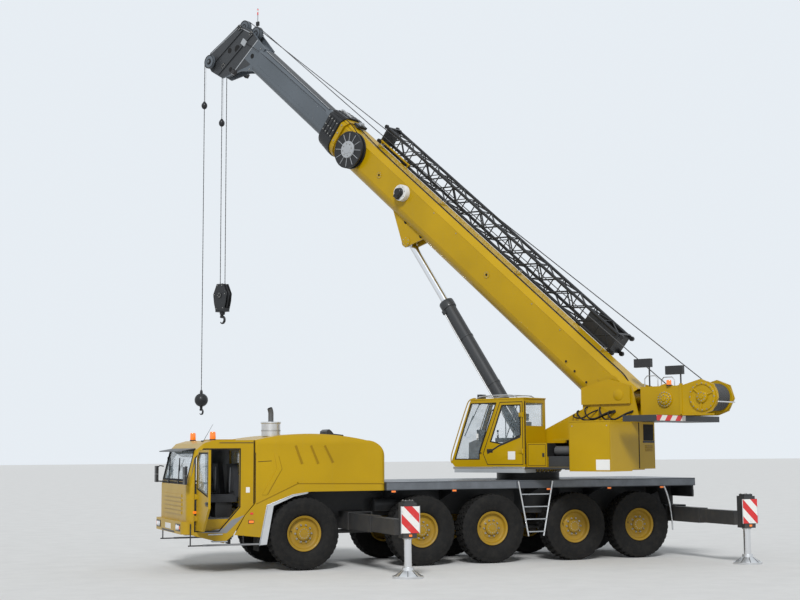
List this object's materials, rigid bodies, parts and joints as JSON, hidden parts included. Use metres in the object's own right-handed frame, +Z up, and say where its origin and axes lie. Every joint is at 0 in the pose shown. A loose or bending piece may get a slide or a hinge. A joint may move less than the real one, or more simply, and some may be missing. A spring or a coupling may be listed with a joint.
{
  "type": "mobile crane",
  "caption": "All-terrain mobile crane with telescopic boom raised, outriggers out, a stowed lattice jib, a hook block and a ball hook",
  "frame": {"origin": "middle of the bounding box in plan, on the ground the floats and tyres stand on", "axes": "+Z up, the carrier drives towards -X, its left side faces -Y"},
  "size_m": [11.97, 14.6738, 15.0704],
  "materials": {
    "yellow_paint": "gloss yellow enamel",
    "frame_grey": "satin grey chassis paint",
    "tyre_and_rim": "black rubber tyre on a painted steel rim",
    "boom_black": "satin black paint",
    "boom_grey": "satin grey paint",
    "bright_steel": "hard chrome",
    "rope_steel": "greased wire rope",
    "hook_paint": "worn black hook paint",
    "glazing": "tinted safety glass",
    "interior": "dark seat cloth and plastic",
    "fitting_metal": "bare aluminium",
    "engine_block": "cast iron",
    "axle_paint": "satin grey paint",
    "drum_paint": "dark drum paint with rope"
  },
  "bodies": {
    "carrier": {"chassis": "frame_grey", "deck": "yellow_paint", "carrier_cab": "yellow_paint", "cab_glass": "glazing", "cab_interior": "interior", "engine_cover": "yellow_paint", "engine": "engine_block", "carrier_fittings": "fitting_metal", "axles": "axle_paint"},
    "wheel_1_left": {"wheel_1_left": "tyre_and_rim"},
    "knuckle_1_left": {"knuckle_1_left": "axle_paint"},
    "wheel_1_right": {"wheel_1_right": "tyre_and_rim"},
    "knuckle_1_right": {"knuckle_1_right": "axle_paint"},
    "wheel_2_left": {"wheel_2_left": "tyre_and_rim"},
    "knuckle_2_left": {"knuckle_2_left": "axle_paint"},
    "wheel_2_right": {"wheel_2_right": "tyre_and_rim"},
    "knuckle_2_right": {"knuckle_2_right": "axle_paint"},
    "wheel_3_left": {"wheel_3_left": "tyre_and_rim"},
    "wheel_3_right": {"wheel_3_right": "tyre_and_rim"},
    "wheel_4_left": {"wheel_4_left": "tyre_and_rim"},
    "knuckle_4_left": {"knuckle_4_left": "axle_paint"},
    "wheel_4_right": {"wheel_4_right": "tyre_and_rim"},
    "knuckle_4_right": {"knuckle_4_right": "axle_paint"},
    "wheel_5_left": {"wheel_5_left": "tyre_and_rim"},
    "knuckle_5_left": {"knuckle_5_left": "axle_paint"},
    "wheel_5_right": {"wheel_5_right": "tyre_and_rim"},
    "knuckle_5_right": {"knuckle_5_right": "axle_paint"},
    "arm_front_left": {"arm_front_left": "frame_grey"},
    "beam_front_left": {"beam_front_left": "frame_grey"},
    "jack_front_left": {"jack_front_left": "bright_steel"},
    "arm_front_right": {"arm_front_right": "frame_grey"},
    "beam_front_right": {"beam_front_right": "frame_grey"},
    "jack_front_right": {"jack_front_right": "bright_steel"},
    "arm_rear_left": {"arm_rear_left": "frame_grey"},
    "beam_rear_left": {"beam_rear_left": "frame_grey"},
    "jack_rear_left": {"jack_rear_left": "bright_steel"},
    "arm_rear_right": {"arm_rear_right": "frame_grey"},
    "beam_rear_right": {"beam_rear_right": "frame_grey"},
    "jack_rear_right": {"jack_rear_right": "bright_steel"},
    "left_door": {"left_door": "yellow_paint"},
    "right_door": {"right_door": "yellow_paint"},
    "upper_works": {"turntable": "yellow_paint", "cabinets": "yellow_paint", "operator_cab": "yellow_paint", "operator_glass": "glazing", "operator_interior": "interior"},
    "operator_door": {"operator_door": "yellow_paint"},
    "boom": {"boom_base": "yellow_paint", "stowed_jib": "boom_black"},
    "boom_sections": {"boom_middle": "boom_black"},
    "boom_tip": {"boom_tip": "boom_grey"},
    "ram_rod": {"ram_rod": "bright_steel"},
    "ram_barrel": {"ram_barrel": "boom_black"},
    "block_falls": {"block_falls": "rope_steel"},
    "hook_block": {"hook_block": "hook_paint"},
    "ball_fall": {"ball_fall": "rope_steel"},
    "ball_hook": {"ball_hook": "hook_paint"},
    "main_drum": {"main_drum": "drum_paint"},
    "aux_drum": {"aux_drum": "drum_paint"}
  },
  "joints": [
    {"name": "steer_1_left", "type": "hinge", "parent": "carrier", "child": "knuckle_1_left", "pos_m": [-3.435, -3.56276, 0.745], "axis": [0, 0, 1], "range_deg": [-33, 33]},
    {"name": "spin_1_left", "type": "hinge", "parent": "knuckle_1_left", "child": "wheel_1_left", "pos_m": [-3.435, -3.80276, 0.745], "axis": [0, 1, 0], "continuous": true},
    {"name": "steer_1_right", "type": "hinge", "parent": "carrier", "child": "knuckle_1_right", "pos_m": [-3.435, -1.73776, 0.745], "axis": [0, 0, 1], "range_deg": [-33.1, 33.1]},
    {"name": "spin_1_right", "type": "hinge", "parent": "knuckle_1_right", "child": "wheel_1_right", "pos_m": [-3.435, -1.49776, 0.745], "axis": [0, 1, 0], "continuous": true},
    {"name": "steer_2_left", "type": "hinge", "parent": "carrier", "child": "knuckle_2_left", "pos_m": [-0.815, -3.56276, 0.745], "axis": [0, 0, 1], "range_deg": [-14.29, 14.29]},
    {"name": "spin_2_left", "type": "hinge", "parent": "knuckle_2_left", "child": "wheel_2_left", "pos_m": [-0.815, -3.80276, 0.745], "axis": [0, 1, 0], "continuous": true},
    {"name": "steer_2_right", "type": "hinge", "parent": "carrier", "child": "knuckle_2_right", "pos_m": [-0.815, -1.73776, 0.745], "axis": [0, 0, 1], "range_deg": [-14.29, 14.29]},
    {"name": "spin_2_right", "type": "hinge", "parent": "knuckle_2_right", "child": "wheel_2_right", "pos_m": [-0.815, -1.49776, 0.745], "axis": [0, 1, 0], "continuous": true},
    {"name": "spin_3_left", "type": "hinge", "parent": "carrier", "child": "wheel_3_left", "pos_m": [0.835, -3.80276, 0.745], "axis": [0, 1, 0], "continuous": true},
    {"name": "spin_3_right", "type": "hinge", "parent": "carrier", "child": "wheel_3_right", "pos_m": [0.835, -1.49776, 0.745], "axis": [0, 1, 0], "continuous": true},
    {"name": "steer_4_left", "type": "hinge", "parent": "carrier", "child": "knuckle_4_left", "pos_m": [2.855, -3.56276, 0.745], "axis": [0, 0, 1], "range_deg": [-17.26, 17.26]},
    {"name": "spin_4_left", "type": "hinge", "parent": "knuckle_4_left", "child": "wheel_4_left", "pos_m": [2.855, -3.80276, 0.745], "axis": [0, 1, 0], "continuous": true},
    {"name": "steer_4_right", "type": "hinge", "parent": "carrier", "child": "knuckle_4_right", "pos_m": [2.855, -1.73776, 0.745], "axis": [0, 0, 1], "range_deg": [-17.26, 17.26]},
    {"name": "spin_4_right", "type": "hinge", "parent": "knuckle_4_right", "child": "wheel_4_right", "pos_m": [2.855, -1.49776, 0.745], "axis": [0, 1, 0], "continuous": true},
    {"name": "steer_5_left", "type": "hinge", "parent": "carrier", "child": "knuckle_5_left", "pos_m": [4.505, -3.56276, 0.745], "axis": [0, 0, 1], "range_deg": [-29.47, 29.47]},
    {"name": "spin_5_left", "type": "hinge", "parent": "knuckle_5_left", "child": "wheel_5_left", "pos_m": [4.505, -3.80276, 0.745], "axis": [0, 1, 0], "continuous": true},
    {"name": "steer_5_right", "type": "hinge", "parent": "carrier", "child": "knuckle_5_right", "pos_m": [4.505, -1.73776, 0.745], "axis": [0, 0, 1], "range_deg": [-29.47, 29.47]},
    {"name": "spin_5_right", "type": "hinge", "parent": "knuckle_5_right", "child": "wheel_5_right", "pos_m": [4.505, -1.49776, 0.745], "axis": [0, 1, 0], "continuous": true},
    {"name": "arm_slide_front_left", "type": "slide", "parent": "carrier", "child": "arm_front_left", "axis": [0, -1, 0], "range_m": [-1.3, 0]},
    {"name": "beam_slide_front_left", "type": "slide", "parent": "arm_front_left", "child": "beam_front_left", "axis": [0, -1, 0], "range_m": [-1.26, 0]},
    {"name": "jack_lift_front_left", "type": "slide", "parent": "beam_front_left", "child": "jack_front_left", "axis": [0, 0, -1], "range_m": [-0.5, 0]},
    {"name": "arm_slide_front_right", "type": "slide", "parent": "carrier", "child": "arm_front_right", "axis": [0, 1, 0], "range_m": [-1.3, 0]},
    {"name": "beam_slide_front_right", "type": "slide", "parent": "arm_front_right", "child": "beam_front_right", "axis": [0, 1, 0], "range_m": [-1.26, 0]},
    {"name": "jack_lift_front_right", "type": "slide", "parent": "beam_front_right", "child": "jack_front_right", "axis": [0, 0, -1], "range_m": [-0.5, 0]},
    {"name": "arm_slide_rear_left", "type": "slide", "parent": "carrier", "child": "arm_rear_left", "axis": [0, -1, 0], "range_m": [-1.3, 0]},
    {"name": "beam_slide_rear_left", "type": "slide", "parent": "arm_rear_left", "child": "beam_rear_left", "axis": [0, -1, 0], "range_m": [-1.26, 0]},
    {"name": "jack_lift_rear_left", "type": "slide", "parent": "beam_rear_left", "child": "jack_rear_left", "axis": [0, 0, -1], "range_m": [-0.5, 0]},
    {"name": "arm_slide_rear_right", "type": "slide", "parent": "carrier", "child": "arm_rear_right", "axis": [0, 1, 0], "range_m": [-1.3, 0]},
    {"name": "beam_slide_rear_right", "type": "slide", "parent": "arm_rear_right", "child": "beam_rear_right", "axis": [0, 1, 0], "range_m": [-1.26, 0]},
    {"name": "jack_lift_rear_right", "type": "slide", "parent": "beam_rear_right", "child": "jack_rear_right", "axis": [0, 0, -1], "range_m": [-0.5, 0]},
    {"name": "left_door_swing", "type": "hinge", "parent": "carrier", "child": "left_door", "pos_m": [-5.7214, -3.98656, 1.6], "axis": [0, 0, -1], "range_deg": [-88, 0]},
    {"name": "right_door_swing", "type": "hinge", "parent": "carrier", "child": "right_door", "pos_m": [-5.7214, -1.31396, 1.6], "axis": [0, 0, 1], "range_deg": [0, 88]},
    {"name": "slew", "type": "hinge", "parent": "carrier", "child": "upper_works", "pos_m": [2.365, -2.65026, 1.95], "axis": [0, 0, 1], "continuous": true},
    {"name": "operator_door_swing", "type": "hinge", "parent": "upper_works", "child": "operator_door", "pos_m": [1.55702, -4.01381, 2.8], "axis": [0, 0, 1], "range_deg": [0, 85]},
    {"name": "boom_luff", "type": "hinge", "parent": "upper_works", "child": "boom", "pos_m": [3.6579, -5.13389, 3.6], "axis": [0.887, 0.4617, 0], "range_deg": [-41.9, 41.6]},
    {"name": "boom_extend", "type": "slide", "parent": "boom", "child": "boom_sections", "axis": [-0.3516, 0.6755, 0.6481], "range_m": [0, 7.6]},
    {"name": "tip_extend", "type": "slide", "parent": "boom_sections", "child": "boom_tip", "axis": [-0.3516, 0.6755, 0.6481], "range_m": [-3.55, 3.25]},
    {"name": "ram_rod_turn", "type": "hinge", "parent": "boom", "child": "ram_rod", "pos_m": [0.74908, 0.4539, 7.64035], "axis": [0.887, 0.4617, 0], "range_deg": [-13.3, 13.2]},
    {"name": "ram_stroke", "type": "slide", "parent": "ram_rod", "child": "ram_barrel", "axis": [0.2639, -0.5069, -0.8206], "range_m": [-1.66, 1.65]},
    {"name": "block_swing", "type": "hinge", "parent": "boom_tip", "child": "block_falls", "pos_m": [-2.52769, 6.74851, 13.50326], "axis": [0.887, 0.4617, 0], "range_deg": [-41.7, 42]},
    {"name": "main_hoist", "type": "slide", "parent": "block_falls", "child": "hook_block", "axis": [0, 0, -1], "range_m": [-4.5, 0], "deforming": ["block_falls"]},
    {"name": "ball_swing", "type": "hinge", "parent": "boom_tip", "child": "ball_fall", "pos_m": [-2.94824, 6.8417, 13.68702], "axis": [0.887, 0.4617, 0], "range_deg": [-41.7, 42]},
    {"name": "ball_hoist", "type": "slide", "parent": "ball_fall", "child": "ball_hook", "axis": [0, 0, -1], "range_m": [-8, 0], "deforming": ["ball_fall"]},
    {"name": "main_drum_turn", "type": "hinge", "parent": "upper_works", "child": "main_drum", "pos_m": [4.55369, -6.85469, 3.51], "axis": [0.887, 0.4617, 0], "range_deg": [-2057, 2]},
    {"name": "aux_drum_turn", "type": "hinge", "parent": "upper_works", "child": "aux_drum", "pos_m": [4.14735, -6.07412, 3.48], "axis": [0.887, 0.4617, 0], "range_deg": [-1829, 2]}
  ],
  "couplings": [
    {"joint": "steer_1_right", "follows": "steer_1_left", "ratio": 1},
    {"joint": "steer_2_left", "follows": "steer_1_left", "ratio": 0.43},
    {"joint": "steer_2_right", "follows": "steer_1_left", "ratio": 0.43},
    {"joint": "steer_4_left", "follows": "steer_1_left", "ratio": -0.52},
    {"joint": "steer_4_right", "follows": "steer_1_left", "ratio": -0.52},
    {"joint": "steer_5_left", "follows": "steer_1_left", "ratio": -0.89},
    {"joint": "steer_5_right", "follows": "steer_1_left", "ratio": -0.89},
    {"joint": "beam_slide_front_left", "follows": "arm_slide_front_left", "ratio": 0.968},
    {"joint": "beam_slide_front_right", "follows": "arm_slide_front_right", "ratio": 0.968},
    {"joint": "beam_slide_rear_left", "follows": "arm_slide_rear_left", "ratio": 0.968},
    {"joint": "beam_slide_rear_right", "follows": "arm_slide_rear_right", "ratio": 0.968},
    {"joint": "ram_rod_turn", "follows": "boom_luff", "ratio": 0.315},
    {"joint": "ram_stroke", "follows": "boom_luff", "m_per_rad": 2.2535},
    {"joint": "block_swing", "follows": "boom_luff", "ratio": -1},
    {"joint": "ball_swing", "follows": "boom_luff", "ratio": -1},
    {"joint": "main_drum_turn", "follows": "main_hoist", "rad_per_m": 7.9681},
    {"joint": "aux_drum_turn", "follows": "ball_hoist", "rad_per_m": 3.9841}
  ]
}
